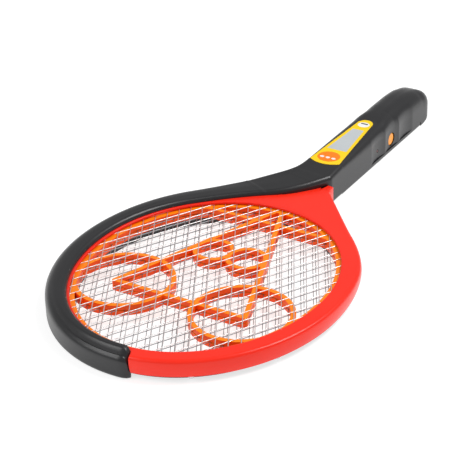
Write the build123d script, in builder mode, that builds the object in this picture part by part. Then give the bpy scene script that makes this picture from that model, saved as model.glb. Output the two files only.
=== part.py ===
from build123d import *
import os
from math import atan, cos, degrees, radians, sin, sqrt, tan

os.makedirs("parts", exist_ok=True)

# Electric fly swatter, in millimetres. The origin is on the flat underside of the handle, on
# the handle's axis. X runs from the head to the handle's end and Z is up. The head's opening
# is symmetric about XZ. A black arm, in one with the handle, runs along its +Y side.

# ---------------------------------------------------------------- driving dimensions
FIT = 0.2  # gap between pieces that are put together once
RUN = 0.3  # gap round pieces that move

# Opening of the head: two half ellipses that meet at its widest point
HEAD_TO_GRIP = 250.0  # widest point to the origin
OPEN_HALF = 103.0
OPEN_NOSE = 125.5
OPEN_THROAT = 118.0

# Layers of the head, from the floor up
RING_H = 7.0
MESH_T = 1.0
SPACER_T = 4.0
LIP_T = 2.0

# Growth of the head's outlines beyond the opening
SEAT_W = 2.6  # layers' edge, under the upper frame's lip
RING_W = 5.0  # red ring beside the arm
RIM_W = 14.5  # red rim on the free side
RIM_NOSE = 13.5
WEB_W = 23.0  # red web at the throat, on the axis
NECK_W = 30.0  # outer outline at the throat
ARM_W = 22.0  # black arm at its widest
ARM_NOSE = 15.5
ARM_END = 14.0  # the arm ends this far past the axis, round the nose
NECK_ANGLE = 42.0
RIM_BASE = 5.0  # height of the red rim's lower edge

# Spacer lattice and meshes
RIB_W = 4.0
BIG_RING_R = 40.0
BIG_RING_X = -40.0  # from the widest point, as the next places are
BIG_RING_Y = 54.6
SMALL_RING_R = 15.6
SMALL_RING_X = 34.3
BASE_BAR_X = -44.8
BASE_BAR_HALF = 60.4
APEX_X = 123.9
CROSS_BAR_X = 94.9
WIRE_W = 1.0
WIRE_PITCH = 9.8
WIRE_ANGLE = 29.0

# Handle and arm housing
WALL = 2.0
PARTING_Z = 4.0
ARM_TOP = 24.0
HANDLE_HALF = 18.0
NECK_X = -110.0  # the top starts to rise here
LABEL_X = -57.0  # wide end of the label
LABEL_L = 90.0
LABEL_LOW = 29.0  # height of the top at the label's two ends
LABEL_HIGH = 33.0
GRIP_X = 50.0  # the grip's level top starts and ends here
GRIP_END = 95.0
GRIP_TOP = 35.5
TIP_X = 138.0
TIP_Z = 17.0
BASE_END = 108.0  # end of the flat underside
END_RADIUS = 15.0  # the end's corners in plan
TONGUE_X = -76.0  # tip of the red web, beside the handle
TONGUE_Y = -15.0
SCOOP_PITCH = 28.5
SCOOP_X = 18.8  # first finger scoop
SCOOP_DEPTH = 1.2
SCOOPS = 3
GRIP_WALL = 1.6

# Label plate, sunk in the ramp of the top
LABEL_HALF = 15.0
LABEL_CORNER = 3.0
LABEL_ROUND = 7.5
LABEL_T = 0.6
LABEL_SINK = 0.4

# Button, lamp and battery bay
BUTTON_R = 6.0
BUTTON_Z = 12.0
BUTTON_SINK = 0.6  # its face below the wall
TRAVEL = 1.5
LAMP_R = 1.5
LAMP_Z = 12.0
TAB_Z = 20.0  # battery contacts' tabs cross the bay's front wall at this height
BAY_X0 = 58.3
BAY_X1 = 117.0
BAY_WALL = 1.3
CELL_R = 7.1
CELL_L = 49.5
NUB_R = 2.7
NUB_L = 1.0
CELL_FLOOR = 3.4
CONTACT_T = 0.4
CONTACT_L = 5.7  # length of a contact's spring, pressed
DOOR_END = 120.0
DOOR_LEDGE = 1.2
DOOR_T = 2.7
DOOR_HALF = 13.5
DOOR_TONGUE = 1.7

# Circuit board
BOARD_X0 = -60.0
BOARD_X1 = 54.0
BOARD_HALF = 12.5
BOARD_Z = 7.0
BOARD_T = 1.6

# Screws
SCREW_R = 1.3
SCREW_HOLE = 1.6
SCREW_HEAD_R = 2.5
SCREW_HEAD_H = 2.0
BOSS_R = 3.5
SCREW_TIP = 18.0
RIM_SCREW_TIP = 15.0

# Grip ridges under the door
DOOR_RIDGES = 4
DOOR_RIDGE_X = 98.0
DOOR_RIDGE_PITCH = 2.4

# Parts on the board, from the origin
CORE_X = -20.0
CORE_L = 16.0
CORE_W = 14.0
CORE_H = 5.0
CORE_LEG = 3.2
CORE_LIFT = 1.2
CAP_X = -2.0
TRANSISTOR_X = -36.0
DIODE_X = -4.0
RESISTOR_X = -44.0

# Mesh tabs and wires
TAB_W = 6.0
TAB_L = 9.0
TAB_YS = {"mesh_upper": 11.0, "mesh_lower": 1.0, "grid": -9.0}
LEAD_R = 0.7
LEG_R = 0.3

# ---------------------------------------------------------------- worked out sizes
HEAD_X = -HEAD_TO_GRIP
LOW_MESH_Z = RING_H
LOW_SPACER_Z = LOW_MESH_Z + MESH_T
GRID_Z = LOW_SPACER_Z + SPACER_T
TOP_SPACER_Z = GRID_Z + MESH_T
TOP_MESH_Z = TOP_SPACER_Z + SPACER_T
LIP_Z = TOP_MESH_Z + MESH_T
HEAD_TOP = LIP_Z + LIP_T
LUG_Z = GRID_Z - 2.0  # the two frames' lugs meet here
LUG_T = 3.0
LOW_LUG_Z = PARTING_Z + FIT
LAMP_X = SCOOP_X
WIRE_GATE_X = HEAD_X + OPEN_THROAT + WEB_W
WIRE_GATE_TOP = 13.0
BOARD_TOP = BOARD_Z + BOARD_T
BUTTON_X = SCOOP_X + SCOOP_PITCH
BUTTON_FACE = -HANDLE_HALF + SCOOP_DEPTH + BUTTON_SINK
WALL_INNER = -HANDLE_HALF + SCOOP_DEPTH + GRIP_WALL
SWITCH_FACE = WALL_INNER + 8.0
CELL_Z = CELL_FLOOR + CELL_R
CELL_Y = CELL_R + FIT
TALL = 60.0  # taller than anything
FAR = 600.0  # further out than anything


# ---------------------------------------------------------------- outlines
def egg(nose, side, throat):
    """The opening as a face, grown by a distance at the nose, the sides and the throat."""
    with BuildSketch() as face:
        with BuildLine():
            EllipticalCenterArc((HEAD_X, 0), OPEN_NOSE + nose, OPEN_HALF + side, 90, arc_size=180)
            EllipticalCenterArc((HEAD_X, 0), OPEN_THROAT + throat, OPEN_HALF + side, -90, arc_size=180)
        make_face()
    return face.sketch


def ring(outer, inner):
    """A band round the opening, between two growths."""
    with BuildSketch() as face:
        add(egg(outer, outer, outer))
        add(egg(inner, inner, inner), mode=Mode.SUBTRACT)
    return face.sketch


def rim_point(angle, grow):
    """A point beside the opening, at an angle from the handle's side of the widest point."""
    a = radians(angle)
    length = (OPEN_THROAT if cos(a) > 0 else OPEN_NOSE) + grow
    return (HEAD_X + length * cos(a), (OPEN_HALF + grow) * sin(a))


def half_head(side_sign, nose, side, handle_half, inset):
    """One side of the head's outline: an egg whose throat runs on, tangent, to the handle."""
    a = OPEN_THROAT + NECK_W - inset
    b = OPEN_HALF + side - inset
    slope = tan(radians(NECK_ANGLE))
    k = slope * a / b
    touch = (HEAD_X + a * k / sqrt(1 + k * k), b / sqrt(1 + k * k))
    foot = (touch[0] + (touch[1] - handle_half) / slope, handle_half)
    with BuildSketch() as face:
        add(egg(nose - inset, side - inset, NECK_W - inset))
        with BuildLine():
            Polyline((HEAD_X, 0), touch, foot, (foot[0], 0), close=True)
        make_face()
        with Locations((HEAD_X, FAR / 2)):
            Rectangle(2 * FAR, FAR, mode=Mode.INTERSECT)
        if side_sign < 0:
            mirror(about=Plane.XZ, mode=Mode.REPLACE)
    return face.sketch


def handle_plan(inset):
    """The handle's outline, from the neck to its rounded end."""
    length = TIP_X - inset - TONGUE_X
    with BuildSketch() as face:
        with Locations((TONGUE_X + length / 2, 0)):
            Rectangle(length, 2 * (HANDLE_HALF - inset))
        fillet(face.vertices().group_by(Axis.X)[-1], END_RADIUS - inset)
    return face.sketch


def red_zone(grow):
    """All that the red frame takes up in plan: ring, web and everything on the free side."""
    corner_x = HEAD_X + OPEN_THROAT + WEB_W - 2.0
    with BuildSketch() as face:
        add(egg(RING_W + grow, RING_W + grow, WEB_W + grow))
        with BuildLine():
            Polyline(
                (-FAR, -ARM_END + grow),
                (HEAD_X, -ARM_END + grow),
                (HEAD_X, 5.0),
                (corner_x, 5.0 + 1.2 * grow),
                (TONGUE_X + grow, TONGUE_Y + 1.2 * grow),
                (TONGUE_X + grow, -FAR),
                (-FAR, -FAR),
                close=True,
            )
        make_face()
    return face.sketch


def black_plan(inset):
    """The housing in plan: the arm, the neck and the handle, clear of the red frame."""
    half = HANDLE_HALF - inset
    with BuildSketch() as face:
        add(half_head(1, ARM_NOSE, ARM_W, half, inset))
        add(half_head(-1, ARM_NOSE, RIM_W, half, inset))
        add(handle_plan(inset))
        add(red_zone(FIT + inset), mode=Mode.SUBTRACT)
    return face.sketch


def red_plan(inset, inner):
    """The red frame in plan, its outer edge moved in and its opening grown by inner."""
    with BuildSketch() as face:
        add(half_head(1, ARM_NOSE, ARM_W, HANDLE_HALF, inset))
        add(half_head(-1, RIM_NOSE, RIM_W, HANDLE_HALF, inset))
        add(red_zone(-inset), mode=Mode.INTERSECT)
        add(egg(inner, inner, inner), mode=Mode.SUBTRACT)
    return face.sketch


def side_profile(inset):
    """The housing from the side, on XZ: arm, rising neck, label ramp, grip and domed end."""
    top = -inset
    with BuildSketch(Plane.XZ) as face:
        with BuildLine():
            Polyline(
                (BASE_END, inset),
                (-FAR, inset),
                (-FAR, ARM_TOP + top),
                (NECK_X, ARM_TOP + top),
                (LABEL_X, LABEL_LOW + top),
                (LABEL_X + LABEL_L, LABEL_HIGH + top),
                (GRIP_X, GRIP_TOP + top),
                (GRIP_END, GRIP_TOP + top),
            )
            upper = GRIP_TOP - TIP_Z - inset
            EllipticalCenterArc((GRIP_END, TIP_Z), TIP_X - GRIP_END - inset, upper, 0, arc_size=90)
            EllipticalCenterArc(
                (BASE_END, TIP_Z), TIP_X - BASE_END - inset, TIP_Z - inset, -90, arc_size=90
            )
        make_face()
    return face.sketch


def scoop_face(grow):
    """The finger scoops' cutters in plan, one pair for each finger."""
    chord = SCOOP_PITCH / 2
    radius = (chord**2 + SCOOP_DEPTH**2) / (2 * SCOOP_DEPTH)
    centre_y = HANDLE_HALF - SCOOP_DEPTH + radius
    with BuildSketch() as face:
        for n in range(SCOOPS):
            x = SCOOP_X + n * SCOOP_PITCH
            with Locations((x, centre_y), (x, -centre_y)):
                Circle(radius + grow)
    return face.sketch


# ---------------------------------------------------------------- where the screws go
LUG_ANGLES = (72, 105, 140)
ARM_LUGS = [rim_point(a, RING_W + 6.5) for a in LUG_ANGLES]
RIM_SCREWS = [rim_point(a, RIM_W / 2 + 1.5) for a in (-150, -118, -86, -54)]
WEB_SCREW = (HEAD_X + OPEN_THROAT + 14.0, -24.0)
NECK_SCREWS = [(-84.0, 20.0), (-69.0, 0.0)]
GRIP_SCREW = (8.0, 0.0)
HOUSING_SCREWS = NECK_SCREWS + [GRIP_SCREW]
BOARD_SCREWS = [(-50.0, 7.5), (34.0, 7.5)]


def lug_face(grow):
    """Lugs that tie the frames to the arm, from the ring's edge to round their screws."""
    with BuildSketch() as face:
        for angle, point in zip(LUG_ANGLES, ARM_LUGS):
            inner = rim_point(angle, RING_W - 1.0)
            with BuildLine():
                Line(inner, point)
            trace(line_width=2 * (BOSS_R + grow))
            with Locations(point):
                Circle(BOSS_R + grow)
    return face.sketch



def tab_face(grow):
    """The three mesh tabs in plan, at the throat: they reach from the layers into the web."""
    x0 = HEAD_X + OPEN_THROAT
    with BuildSketch() as face:
        for y in TAB_YS.values():
            with Locations((x0 + (SEAT_W + TAB_L) / 2, y)):
                Rectangle(SEAT_W + TAB_L, TAB_W + 2 * grow)
    return face.sketch


# ---------------------------------------------------------------- housing shells
def band(low, high):
    """A slab over the whole plan, between two heights."""
    with BuildPart() as slab:
        with BuildSketch(Plane.XY.offset(low)):
            Rectangle(2 * FAR, 2 * FAR)
        extrude(amount=high - low)
    return slab.part


def posts(points, radius, low, high):
    """Upright round posts, or holes when they are cut."""
    with BuildPart() as group:
        with BuildSketch(Plane.XY.offset(low)):
            with Locations(*points):
                Circle(radius)
        extrude(amount=high - low)
    return group.part


def block(x0, x1, y0, y1, z0, z1):
    """A plain block between two corners."""
    with BuildPart() as body:
        with BuildSketch(Plane.XY.offset(z0)):
            with Locations(((x0 + x1) / 2, (y0 + y1) / 2)):
                Rectangle(x1 - x0, y1 - y0)
        extrude(amount=z1 - z0)
    return body.part


def across(x, z, radius, y0, y1):
    """A round bar along Y, from y0 to y1."""
    with BuildPart() as bar:
        with BuildSketch(Plane((x, y0, z), x_dir=(1, 0, 0), z_dir=(0, 1, 0))):
            Circle(radius)
        extrude(amount=y1 - y0)
    return bar.part


def along(y, z, radius, x0, x1):
    """A round bar along X, from x0 to x1."""
    with BuildPart() as bar:
        with BuildSketch(Plane((x0, y, z), x_dir=(0, 1, 0), z_dir=(1, 0, 0))):
            Circle(radius)
        extrude(amount=x1 - x0)
    return bar.part


# The housing's outer form, whole
with BuildPart() as housing:
    with BuildSketch():
        add(black_plan(0))
    extrude(amount=TALL)
    with BuildSketch(Plane.XZ):
        add(side_profile(0))
    extrude(amount=FAR, both=True, mode=Mode.INTERSECT)
    with BuildSketch():
        add(scoop_face(0))
    extrude(amount=TALL, mode=Mode.SUBTRACT)

# Its hollow: the handle's front with the arm, the battery bay and the domed end
with BuildPart() as hollow:
    with BuildSketch():
        add(black_plan(WALL))
    extrude(amount=TALL)
    with BuildSketch(Plane.XZ):
        add(side_profile(WALL))
    extrude(amount=FAR, both=True, mode=Mode.INTERSECT)
    with BuildSketch():
        add(scoop_face(GRIP_WALL))
    extrude(amount=TALL, mode=Mode.SUBTRACT)
    add(block(BAY_X0 - BAY_WALL, BAY_X0, -FAR, FAR, PARTING_Z, TALL), mode=Mode.SUBTRACT)
    add(block(BAY_X1, BAY_X1 + BAY_WALL, -FAR, FAR, 0, TALL), mode=Mode.SUBTRACT)
    add(block(BAY_X1, FAR, -FAR, FAR, 0, DOOR_T + WALL), mode=Mode.SUBTRACT)

# Room for the battery door, which slides out under the domed end
with BuildPart() as door_way:
    add(block(BAY_X0, FAR, -DOOR_HALF - RUN, DOOR_HALF + RUN, -1.0, DOOR_T + RUN))
    tongue_half = DOOR_HALF + DOOR_TONGUE + RUN
    add(block(BAY_X0, FAR, -tongue_half, tongue_half, DOOR_LEDGE, DOOR_T + RUN))

# The gate where the mesh wires pass from the red web into the black neck
with BuildPart() as wire_gate:
    add(block(WIRE_GATE_X - 6.0, WIRE_GATE_X + 14.0, 3.0, 15.0, RING_H + FIT, WIRE_GATE_TOP))

# The lower shell is the floor of handle and arm, up to the parting line
with BuildPart() as lower_shell:
    add(housing.part)
    add(band(0, PARTING_Z), mode=Mode.INTERSECT)
    add(block(-FAR, BASE_END, -FAR, FAR, -1.0, PARTING_Z), mode=Mode.INTERSECT)
    add(hollow.part, mode=Mode.SUBTRACT)
    add(door_way.part, mode=Mode.SUBTRACT)
    add(posts(ARM_LUGS, BOSS_R, 0, PARTING_Z))
    add(posts(HOUSING_SCREWS, BOSS_R, 0, BOARD_Z))
    add(posts(BOARD_SCREWS, BOSS_R - 1.0, 0, BOARD_Z))
    add(posts(BOARD_SCREWS, SCREW_R * 0.75, WALL, BOARD_Z), mode=Mode.SUBTRACT)
    add(posts(ARM_LUGS + HOUSING_SCREWS, SCREW_HOLE, 0, BOARD_Z), mode=Mode.SUBTRACT)
    add(posts(ARM_LUGS + HOUSING_SCREWS, SCREW_HEAD_R + FIT, 0, SCREW_HEAD_H + FIT), mode=Mode.SUBTRACT)
lower_shell.part.label = "lower_shell"
export_step(lower_shell.part, "parts/lower_shell.step")

# The label's plate lies on the ramp of the top: a wide end with small corners, a round end
RAMP_ANGLE = degrees(atan((LABEL_HIGH - LABEL_LOW) / LABEL_L))
ramp = Plane((LABEL_X, 0, LABEL_LOW), x_dir=(LABEL_L, 0, LABEL_HIGH - LABEL_LOW), z_dir=(
    LABEL_LOW - LABEL_HIGH, 0, LABEL_L))


def label_face(grow):
    """The label's outline, in the ramp's plane, from its wide end to its round end."""
    with BuildSketch() as face:
        with Locations((LABEL_CORNER, LABEL_HALF - LABEL_CORNER), (LABEL_CORNER, LABEL_CORNER - LABEL_HALF)):
            Circle(LABEL_CORNER + grow)
        with Locations((LABEL_L - LABEL_ROUND, 0)):
            Circle(LABEL_ROUND + grow)
        make_hull()
    return face.sketch


with BuildPart() as label_plate:
    with BuildSketch(ramp.offset(-LABEL_SINK)):
        add(label_face(0))
    extrude(amount=LABEL_T)
label_plate.part.label = "label_plate"
export_step(label_plate.part, "parts/label_plate.step")

# Screw bosses that hang from the top of the housing
with BuildPart() as bosses:
    add(posts(ARM_LUGS, BOSS_R, LUG_Z + LUG_T, TALL))
    add(posts(NECK_SCREWS, BOSS_R, BOARD_Z, TALL))
    add(posts([GRIP_SCREW], BOSS_R, BOARD_TOP, TALL))
    add(housing.part, mode=Mode.INTERSECT)

# The upper shell is all the rest of the housing, with the domed end
with BuildPart() as upper_shell:
    add(housing.part)
    add(hollow.part, mode=Mode.SUBTRACT)
    add(block(-FAR, BASE_END, -FAR, FAR, -1.0, PARTING_Z), mode=Mode.SUBTRACT)
    add(door_way.part, mode=Mode.SUBTRACT)
    add(bosses.part)
    add(posts(ARM_LUGS + HOUSING_SCREWS, SCREW_R + 0.05, BOARD_Z, SCREW_TIP + 0.5), mode=Mode.SUBTRACT)
    with BuildSketch(Plane.XY.offset(PARTING_Z)):
        add(lug_face(FIT))
        add(red_zone(FIT + WALL + 0.5), mode=Mode.INTERSECT)
    extrude(amount=LUG_Z + LUG_T + FIT - PARTING_Z, mode=Mode.SUBTRACT)
    with BuildSketch(ramp.offset(-LABEL_SINK)):
        add(label_face(FIT))
    extrude(amount=LABEL_T + 1.0, mode=Mode.SUBTRACT)
    add(across(BUTTON_X, BUTTON_Z, BUTTON_R + RUN, -HANDLE_HALF - 1.0, 0), mode=Mode.SUBTRACT)
    add(across(LAMP_X, LAMP_Z, LAMP_R + 0.1, -HANDLE_HALF - 1.0, 0), mode=Mode.SUBTRACT)
    add(block(BAY_X0 - BAY_WALL - 0.5, BAY_X0 + 0.5, -CELL_Y - 2.5, CELL_Y + 2.5, TAB_Z - 1.2, TAB_Z + 1.2),
        mode=Mode.SUBTRACT)
    add(wire_gate.part, mode=Mode.SUBTRACT)
upper_shell.part.label = "upper_shell"
export_step(upper_shell.part, "parts/upper_shell.step")

# ---------------------------------------------------------------- red frame and its black ring
with BuildPart() as frame_upper:
    with BuildSketch(Plane.XY.offset(LIP_Z)):
        add(red_plan(0, 0))
    extrude(amount=LIP_T)
    with BuildSketch(Plane.XY.offset(RIM_BASE)):
        add(red_plan(0, SEAT_W + FIT))
        add(ring(RING_W + WALL, 0), mode=Mode.SUBTRACT)
        add(red_plan(WALL, 0), mode=Mode.SUBTRACT)
    extrude(amount=LIP_Z - RIM_BASE)
    with BuildSketch(Plane.XY.offset(RING_H + FIT)):
        add(ring(RING_W, SEAT_W + FIT))
    extrude(amount=LIP_Z - RING_H - FIT)
    with BuildSketch(Plane.XY.offset(RING_H + FIT)):
        with Locations(*RIM_SCREWS, WEB_SCREW):
            Circle(BOSS_R)
    extrude(amount=LIP_Z - RING_H - FIT)
    with BuildSketch(Plane.XY.offset(LUG_Z + FIT / 2)):
        add(lug_face(0))
        add(egg(RING_W - 0.5, RING_W - 0.5, RING_W - 0.5), mode=Mode.SUBTRACT)
    extrude(amount=LUG_T - FIT)
    add(posts(ARM_LUGS, SCREW_HOLE, LUG_Z - 1.0, LUG_Z + LUG_T), mode=Mode.SUBTRACT)
    add(posts(RIM_SCREWS + [WEB_SCREW], SCREW_R + 0.05, 0, RIM_SCREW_TIP + 0.5), mode=Mode.SUBTRACT)
    with BuildSketch(Plane.XY.offset(RING_H)):
        add(tab_face(FIT))
    extrude(amount=LIP_Z - RING_H, mode=Mode.SUBTRACT)
    add(wire_gate.part, mode=Mode.SUBTRACT)
frame_upper.part.label = "frame_upper"
export_step(frame_upper.part, "parts/frame_upper.step")

with BuildPart() as frame_lower:
    with BuildSketch():
        add(ring(RING_W, 0))
    extrude(amount=RING_H)
    with BuildSketch(Plane.XY.offset(RIM_BASE)):
        add(red_plan(WALL + FIT, RING_W - 1.0))
    extrude(amount=WALL)
    with BuildSketch(Plane.XY.offset(LOW_LUG_Z)):
        add(lug_face(0))
        add(egg(RING_W - 0.5, RING_W - 0.5, RING_W - 0.5), mode=Mode.SUBTRACT)
    extrude(amount=RING_H - LOW_LUG_Z)
    with BuildSketch(Plane.XY.offset(RING_H)):
        add(lug_face(0))
        add(egg(RING_W + FIT, RING_W + FIT, RING_W + FIT), mode=Mode.SUBTRACT)
    extrude(amount=LUG_Z - RING_H)
    add(posts(ARM_LUGS + RIM_SCREWS + [WEB_SCREW], SCREW_HOLE, 0, LUG_Z), mode=Mode.SUBTRACT)
frame_lower.part.label = "frame_lower"
export_step(frame_lower.part, "parts/frame_lower.step")

# ---------------------------------------------------------------- orange spacers
def bar(start, end):
    """A rib of the lattice between two places, measured from the widest point."""
    with BuildSketch() as face:
        with BuildLine():
            Line((HEAD_X + start[0], start[1]), (HEAD_X + end[0], end[1]))
        trace(line_width=RIB_W)
    return face.sketch


def lattice():
    """Both spacers in plan: rim, three bars of a triangle, a cross bar and four rings."""
    circles = [
        (BIG_RING_X, BIG_RING_Y, BIG_RING_R),
        (BIG_RING_X, -BIG_RING_Y, BIG_RING_R),
        (SMALL_RING_X, SMALL_RING_R, SMALL_RING_R),
        (SMALL_RING_X, -SMALL_RING_R, SMALL_RING_R),
    ]
    with BuildSketch() as face:
        for x, y, radius in circles:
            with BuildSketch(mode=Mode.PRIVATE) as hoop:
                with Locations((HEAD_X + x, y)):
                    Circle(radius + RIB_W / 2)
                    Circle(radius - RIB_W / 2, mode=Mode.SUBTRACT)
            add(hoop.sketch)
        add(bar((BASE_BAR_X, BASE_BAR_HALF), (BASE_BAR_X, -BASE_BAR_HALF)))
        for sign in (1, -1):
            add(bar((BASE_BAR_X, sign * BASE_BAR_HALF), (APEX_X, 0)))
            with Locations((HEAD_X + BASE_BAR_X, sign * BASE_BAR_HALF)):
                Circle(RIB_W / 2)
        add(bar((CROSS_BAR_X, -OPEN_HALF), (CROSS_BAR_X, OPEN_HALF)))
        add(egg(-1.0, -1.0, -1.0), mode=Mode.INTERSECT)
        add(ring(SEAT_W, -RIB_W))
    return face.sketch


with BuildPart() as spacer_lower:
    with BuildSketch(Plane.XY.offset(LOW_SPACER_Z)):
        add(lattice())
    extrude(amount=SPACER_T)
spacer_lower.part.label = "spacer_lower"
export_step(spacer_lower.part, "parts/spacer_lower.step")

with BuildPart() as spacer_upper:
    with BuildSketch(Plane.XY.offset(TOP_SPACER_Z)):
        add(lattice())
    extrude(amount=SPACER_T)
spacer_upper.part.label = "spacer_upper"
export_step(spacer_upper.part, "parts/spacer_upper.step")


# ---------------------------------------------------------------- meshes
def wire_net():
    """A mesh in plan: two families of wires that cross in diamonds, and an edge band."""
    count = 2 * int(OPEN_NOSE / WIRE_PITCH) + 1
    with BuildSketch() as face:
        for sign in (1, -1):
            with Locations(Location((HEAD_X, 0), sign * WIRE_ANGLE)):
                with GridLocations(1.0, WIRE_PITCH, 1, count):
                    Rectangle(2 * (OPEN_NOSE + RIM_W), WIRE_W)
        add(egg(SEAT_W, SEAT_W, SEAT_W), mode=Mode.INTERSECT)
        add(ring(SEAT_W, WIRE_W))
    return face.sketch


def mesh_tab(y):
    """The tab of a mesh in plan, from its edge band into the web."""
    x0 = HEAD_X + OPEN_THROAT + SEAT_W - 1.0
    with BuildSketch() as face:
        with Locations((x0 + (TAB_L + 1.0) / 2, y)):
            Rectangle(TAB_L + 1.0, TAB_W)
    return face.sketch


NET = wire_net()

with BuildPart() as mesh_lower:
    with BuildSketch(Plane.XY.offset(LOW_MESH_Z)):
        add(NET)
        add(mesh_tab(TAB_YS["mesh_lower"]))
    extrude(amount=MESH_T)
mesh_lower.part.label = "mesh_lower"
export_step(mesh_lower.part, "parts/mesh_lower.step")

with BuildPart() as grid_inner:
    with BuildSketch(Plane.XY.offset(GRID_Z)):
        add(NET)
        add(mesh_tab(TAB_YS["grid"]))
    extrude(amount=MESH_T)
grid_inner.part.label = "grid_inner"
export_step(grid_inner.part, "parts/grid_inner.step")

with BuildPart() as mesh_upper:
    with BuildSketch(Plane.XY.offset(TOP_MESH_Z)):
        add(NET)
        add(mesh_tab(TAB_YS["mesh_upper"]))
    extrude(amount=MESH_T)
mesh_upper.part.label = "mesh_upper"
export_step(mesh_upper.part, "parts/mesh_upper.step")


# ---------------------------------------------------------------- screws
def screws(points, head_low, shank_tip):
    """Self-tapping screws, driven from below: a round head with a cross slot, and a shank."""
    with BuildPart() as group:
        with BuildSketch(Plane.XY.offset(head_low)):
            with Locations(*points):
                Circle(SCREW_HEAD_R)
        extrude(amount=SCREW_HEAD_H)
        with BuildSketch(Plane.XY.offset(head_low)):
            with Locations(*points):
                Circle(SCREW_R)
        extrude(amount=shank_tip - head_low)
        with BuildSketch(Plane.XY.offset(head_low)):
            with Locations(*points):
                Rectangle(SCREW_HEAD_R * 1.2, 0.5)
                Rectangle(0.5, SCREW_HEAD_R * 1.2)
        extrude(amount=SCREW_HEAD_H / 2, mode=Mode.SUBTRACT)
    return group.part


with BuildPart() as housing_screws:
    add(screws(ARM_LUGS + HOUSING_SCREWS, FIT, SCREW_TIP))
housing_screws.part.label = "housing_screws"
export_step(housing_screws.part, "parts/housing_screws.step")

with BuildPart() as frame_screws:
    add(screws(RIM_SCREWS + [WEB_SCREW], RIM_BASE - SCREW_HEAD_H, RIM_SCREW_TIP))
frame_screws.part.label = "frame_screws"
export_step(frame_screws.part, "parts/frame_screws.step")

with BuildPart() as board_screws:
    with BuildSketch(Plane.XY.offset(BOARD_TOP)):
        with Locations(*BOARD_SCREWS):
            Circle(SCREW_HEAD_R)
    extrude(amount=SCREW_HEAD_H)
    add(posts(BOARD_SCREWS, SCREW_R * 0.75 - 0.05, WALL + 0.5, BOARD_TOP + SCREW_HEAD_H / 2))
board_screws.part.label = "board_screws"
export_step(board_screws.part, "parts/board_screws.step")


# ---------------------------------------------------------------- battery door
with BuildPart() as battery_door:
    add(block(BAY_X0 + RUN, DOOR_END, -DOOR_HALF, DOOR_HALF, 0, DOOR_T))
    add(block(BAY_X0 + RUN, DOOR_END, -DOOR_HALF - DOOR_TONGUE, DOOR_HALF + DOOR_TONGUE,
        DOOR_LEDGE + RUN, DOOR_T))
    with BuildSketch(Plane.XZ):
        add(side_profile(0))
    extrude(amount=FAR, both=True, mode=Mode.INTERSECT)
    for n in range(DOOR_RIDGES):
        x = DOOR_RIDGE_X + n * DOOR_RIDGE_PITCH
        add(block(x, x + DOOR_RIDGE_PITCH / 2, -DOOR_HALF / 2, DOOR_HALF / 2, 0, 0.4), mode=Mode.SUBTRACT)
battery_door.part.label = "battery_door"
export_step(battery_door.part, "parts/battery_door.step")


# ---------------------------------------------------------------- button and its switch
with BuildPart() as trigger_button:
    add(across(BUTTON_X, BUTTON_Z, BUTTON_R, BUTTON_FACE, WALL_INNER + 3.0))
    fillet(trigger_button.edges().group_by(Axis.Y)[0], 0.8)
    add(across(BUTTON_X, BUTTON_Z, BUTTON_R + 1.3, WALL_INNER + RUN, WALL_INNER + RUN + 1.0))
    add(across(BUTTON_X, BUTTON_Z, 2.0, WALL_INNER + 3.0, SWITCH_FACE - 2.0))
trigger_button.part.label = "trigger_button"
export_step(trigger_button.part, "parts/trigger_button.step")

with BuildPart() as switch_plunger:
    add(across(BUTTON_X, BUTTON_Z, 1.4, SWITCH_FACE - 2.0, SWITCH_FACE + 1.5))
switch_plunger.part.label = "switch_plunger"
export_step(switch_plunger.part, "parts/switch_plunger.step")

with BuildPart() as push_switch:
    add(block(BUTTON_X - 4.5, BUTTON_X + 4.5, SWITCH_FACE, SWITCH_FACE + 6.0, BOARD_TOP, BUTTON_Z + 4.0))
    add(across(BUTTON_X, BUTTON_Z, 1.4 + RUN, SWITCH_FACE - 1.0, SWITCH_FACE + 4.0), mode=Mode.SUBTRACT)
push_switch.part.label = "push_switch"
export_step(push_switch.part, "parts/push_switch.step")


def coil(plane, radius, wire, height, turns):
    """An open coil spring that stands on a plane."""
    with BuildPart() as spring:
        with BuildLine() as path:
            Helix(height / turns, height, radius)
        with BuildSketch(Plane(path.line @ 0, z_dir=path.line % 0)):
            Circle(wire / 2)
        sweep(is_frenet=True)
    return plane.location * spring.part


with BuildPart() as button_spring:
    spring_base = Plane((BUTTON_X, WALL_INNER + 3.4, BUTTON_Z), x_dir=(1, 0, 0), z_dir=(0, 1, 0))
    add(coil(spring_base, 3.0, 0.5, SWITCH_FACE - WALL_INNER - 3.8, 4))
button_spring.part.label = "button_spring"
export_step(button_spring.part, "parts/button_spring.step")


# ---------------------------------------------------------------- batteries and contacts
def cell(x0, y, nub_sign):
    """A battery along X with a rounded case, its nub at the end that nub_sign names."""
    with BuildPart() as body:
        add(along(y, CELL_Z, CELL_R, x0, x0 + CELL_L))
        fillet(body.edges(), 0.6)
        if nub_sign < 0:
            add(along(y, CELL_Z, NUB_R, x0 - NUB_L, x0 + 1.0))
        else:
            add(along(y, CELL_Z, NUB_R, x0 + CELL_L - 1.0, x0 + CELL_L + NUB_L))
    return body.part


FRONT_FACE = BAY_X0 + CONTACT_T
REAR_FACE = BAY_X1 - CONTACT_T

with BuildPart() as battery_1:
    add(cell(FRONT_FACE + NUB_L, CELL_Y, -1))
battery_1.part.label = "battery_1"
export_step(battery_1.part, "parts/battery_1.step")

with BuildPart() as battery_2:
    add(cell(REAR_FACE - NUB_L - CELL_L, -CELL_Y, 1))
battery_2.part.label = "battery_2"
export_step(battery_2.part, "parts/battery_2.step")


def contact(x0, y, width, low, high):
    """A contact's plate, upright across the bay."""
    return block(x0, x0 + CONTACT_T, y - width / 2, y + width / 2, low, high)


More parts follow.
